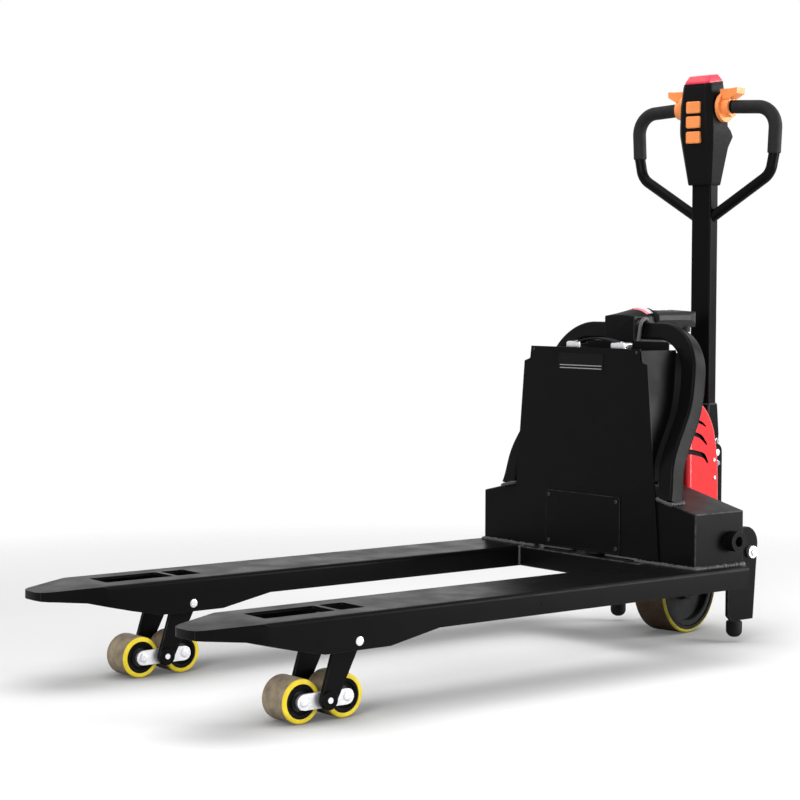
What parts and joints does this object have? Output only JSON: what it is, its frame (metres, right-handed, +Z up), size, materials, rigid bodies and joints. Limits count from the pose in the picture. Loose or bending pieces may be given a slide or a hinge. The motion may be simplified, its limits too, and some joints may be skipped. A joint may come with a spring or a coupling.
{
  "type": "electric pallet truck",
  "caption": "Walk-behind electric pallet truck with raised forks on tandem load wheels, a steered drive wheel under a red hood, a battery box inside a hoop and a tiller with grip loops",
  "frame": {"origin": "middle of the bounding box on the floor", "axes": "+X from the fork tips to the tiller, +Y to the operator's right seen from the tiller, +Z up"},
  "size_m": [1.5746, 0.685, 1.2097],
  "materials": {
    "black_paint": "satin black paint",
    "black_plastic": "fine-grained black plastic",
    "black_rubber": "matte black rubber",
    "dark_steel": "dark blackened steel",
    "zinc_steel": "zinc-plated steel",
    "bright_steel": "ground bright steel",
    "load_tread": "grey-brown worn polyurethane with a yellow edge",
    "drive_tread": "dark brown tread with an olive edge",
    "red_plastic": "glossy red plastic",
    "orange_plastic": "satin orange plastic",
    "battery_case": "grained black case",
    "cast_aluminium": "cast aluminium"
  },
  "bodies": {
    "chassis": {"fork_left": "black_paint", "fork_right": "black_paint", "cross_member": "black_paint", "side_box_left": "black_paint", "side_box_right": "black_paint", "deck_plate": "black_paint", "hoop": "black_paint", "front_panel": "black_paint", "access_cover": "black_paint", "battery_box": "black_plastic", "console_housing": "black_plastic", "console_visor": "black_plastic", "power_cable": "black_rubber", "lift_cylinder": "dark_steel", "pump_unit": "cast_aluminium", "controller": "cast_aluminium", "arm_pin_left": "zinc_steel", "arm_pin_right": "zinc_steel"},
    "battery": {"battery_pack": "battery_case", "battery_strap": "black_rubber"},
    "ignition_key": {"key": "zinc_steel"},
    "ram": {"lift_rod": "bright_steel"},
    "torsion": {"torsion_shaft": "black_paint"},
    "carriage": {"drive_frame": "black_paint", "foot_left": "black_rubber", "foot_right": "black_rubber", "pivot_bolt_left": "zinc_steel", "pivot_bolt_right": "zinc_steel"},
    "drive": {"drive_yoke": "black_paint", "drive_motor": "dark_steel", "motor_hood": "red_plastic", "tiller_base": "black_paint", "tilt_pin": "zinc_steel"},
    "drive_wheel": {"drive_tyre": "drive_tread", "drive_hub": "dark_steel"},
    "tiller": {"tiller_frame": "black_paint", "grip_left": "black_rubber", "grip_right": "black_rubber", "head_housing": "black_plastic"},
    "paddle_left": {"throttle_left": "orange_plastic"},
    "paddle_right": {"throttle_right": "orange_plastic"},
    "switch_upper": {"button_upper": "orange_plastic"},
    "switch_middle": {"button_middle": "orange_plastic"},
    "switch_lower": {"button_lower": "orange_plastic"},
    "belly_switch": {"belly_button": "red_plastic"},
    "link_left": {"push_rod_left": "dark_steel"},
    "arm_left": {"load_arm_left": "black_paint"},
    "rocker_left": {"bogie_left": "zinc_steel"},
    "roller_left_front": {"load_tyre_left_front": "load_tread", "load_hub_left_front": "bright_steel"},
    "roller_left_rear": {"load_tyre_left_rear": "load_tread", "load_hub_left_rear": "bright_steel"},
    "link_right": {"push_rod_right": "dark_steel"},
    "arm_right": {"load_arm_right": "black_paint"},
    "rocker_right": {"bogie_right": "zinc_steel"},
    "roller_right_front": {"load_tyre_right_front": "load_tread", "load_hub_right_front": "bright_steel"},
    "roller_right_rear": {"load_tyre_right_rear": "load_tread", "load_hub_right_rear": "bright_steel"}
  },
  "joints": [
    {"name": "lift", "type": "slide", "parent": "chassis", "child": "carriage", "axis": [0, 0, 1], "range_m": [0, 0.105]},
    {"name": "steer", "type": "hinge", "parent": "carriage", "child": "drive", "pos_m": [0.63371, 0, 0.25], "axis": [0, 0, 1], "range_deg": [-99, 81]},
    {"name": "drive_spin", "type": "hinge", "parent": "drive", "child": "drive_wheel", "pos_m": [0.63371, 0, 0.1], "axis": [-0.1564, 0.9877, 0], "continuous": true},
    {"name": "tiller_tilt", "type": "hinge", "parent": "drive", "child": "tiller", "pos_m": [0.73051, 0.01533, 0.385], "axis": [-0.1564, 0.9877, 0], "range_deg": [0, 85], "stiffness_Nm_per_rad": 16, "springref_deg": -51.57},
    {"name": "throttle_left_turn", "type": "hinge", "parent": "tiller", "child": "paddle_left", "pos_m": [0.73783, -0.03413, 1.135], "axis": [-0.1564, 0.9877, 0], "range_deg": [-35, 35], "stiffness_Nm_per_rad": 0.6},
    {"name": "throttle_right_turn", "type": "hinge", "parent": "tiller", "child": "paddle_right", "pos_m": [0.72219, 0.06464, 1.135], "axis": [-0.1564, 0.9877, 0], "range_deg": [-35, 35], "stiffness_Nm_per_rad": 0.6},
    {"name": "button_upper_push", "type": "slide", "parent": "tiller", "child": "switch_upper", "axis": [0.9877, 0.1564, 0], "range_m": [0, 0.0025], "stiffness_N_per_m": 800, "springref_m": -0.001},
    {"name": "button_middle_push", "type": "slide", "parent": "tiller", "child": "switch_middle", "axis": [0.9877, 0.1564, 0], "range_m": [0, 0.0025], "stiffness_N_per_m": 800, "springref_m": -0.001},
    {"name": "button_lower_push", "type": "slide", "parent": "tiller", "child": "switch_lower", "axis": [0.9877, 0.1564, 0], "range_m": [0, 0.0025], "stiffness_N_per_m": 800, "springref_m": -0.001},
    {"name": "belly_push", "type": "slide", "parent": "tiller", "child": "belly_switch", "axis": [0, 0, -1], "range_m": [0, 0.003], "stiffness_N_per_m": 1000, "springref_m": -0.003},
    {"name": "battery_lift_out", "type": "slide", "parent": "chassis", "child": "battery", "axis": [0, 0, 1], "range_m": [0, 0.28]},
    {"name": "key_turn", "type": "hinge", "parent": "chassis", "child": "ignition_key", "pos_m": [0.62871, -0.03, 0.65], "axis": [0, 0, 1], "range_deg": [0, 90]},
    {"name": "torsion_turn", "type": "hinge", "parent": "chassis", "child": "torsion", "pos_m": [0.46371, 0, 0.24], "axis": [0, 1, 0], "range_deg": [-28, 0]},
    {"name": "ram_slide", "type": "slide", "parent": "chassis", "child": "ram", "axis": [0, 0, -1], "range_m": [0, 0.029]},
    {"name": "push_rod_left_slide", "type": "slide", "parent": "chassis", "child": "link_left", "axis": [1, 0, 0], "range_m": [0, 0.0358]},
    {"name": "load_arm_left_turn", "type": "hinge", "parent": "chassis", "child": "arm_left", "pos_m": [-0.48329, -0.2625, 0.1405], "axis": [0, 1, 0], "range_deg": [0, 70]},
    {"name": "bogie_left_turn", "type": "hinge", "parent": "arm_left", "child": "rocker_left", "pos_m": [-0.52499, -0.2625, 0.039], "axis": [0, 1, 0], "range_deg": [-70, 0]},
    {"name": "load_spin_left_front", "type": "hinge", "parent": "rocker_left", "child": "roller_left_front", "pos_m": [-0.57069, -0.2625, 0.039], "axis": [0, 1, 0], "continuous": true},
    {"name": "load_spin_left_rear", "type": "hinge", "parent": "rocker_left", "child": "roller_left_rear", "pos_m": [-0.47929, -0.2625, 0.039], "axis": [0, 1, 0], "continuous": true},
    {"name": "push_rod_right_slide", "type": "slide", "parent": "chassis", "child": "link_right", "axis": [1, 0, 0], "range_m": [0, 0.0358]},
    {"name": "load_arm_right_turn", "type": "hinge", "parent": "chassis", "child": "arm_right", "pos_m": [-0.48329, 0.2625, 0.1405], "axis": [0, 1, 0], "range_deg": [0, 70]},
    {"name": "bogie_right_turn", "type": "hinge", "parent": "arm_right", "child": "rocker_right", "pos_m": [-0.52499, 0.2625, 0.039], "axis": [0, 1, 0], "range_deg": [-70, 0]},
    {"name": "load_spin_right_front", "type": "hinge", "parent": "rocker_right", "child": "roller_right_front", "pos_m": [-0.57069, 0.2625, 0.039], "axis": [0, 1, 0], "continuous": true},
    {"name": "load_spin_right_rear", "type": "hinge", "parent": "rocker_right", "child": "roller_right_rear", "pos_m": [-0.47929, 0.2625, 0.039], "axis": [0, 1, 0], "continuous": true}
  ],
  "couplings": [
    {"joint": "throttle_right_turn", "follows": "throttle_left_turn", "ratio": 1},
    {"joint": "torsion_turn", "follows": "lift", "rad_per_m": -4.621},
    {"joint": "ram_slide", "follows": "lift", "ratio": 0.27455},
    {"joint": "push_rod_left_slide", "follows": "lift", "ratio": 0.33906},
    {"joint": "load_arm_left_turn", "follows": "lift", "rad_per_m": 11.552},
    {"joint": "bogie_left_turn", "follows": "lift", "rad_per_m": -11.552},
    {"joint": "push_rod_right_slide", "follows": "lift", "ratio": 0.33906},
    {"joint": "load_arm_right_turn", "follows": "lift", "rad_per_m": 11.552},
    {"joint": "bogie_right_turn", "follows": "lift", "rad_per_m": -11.552}
  ]
}
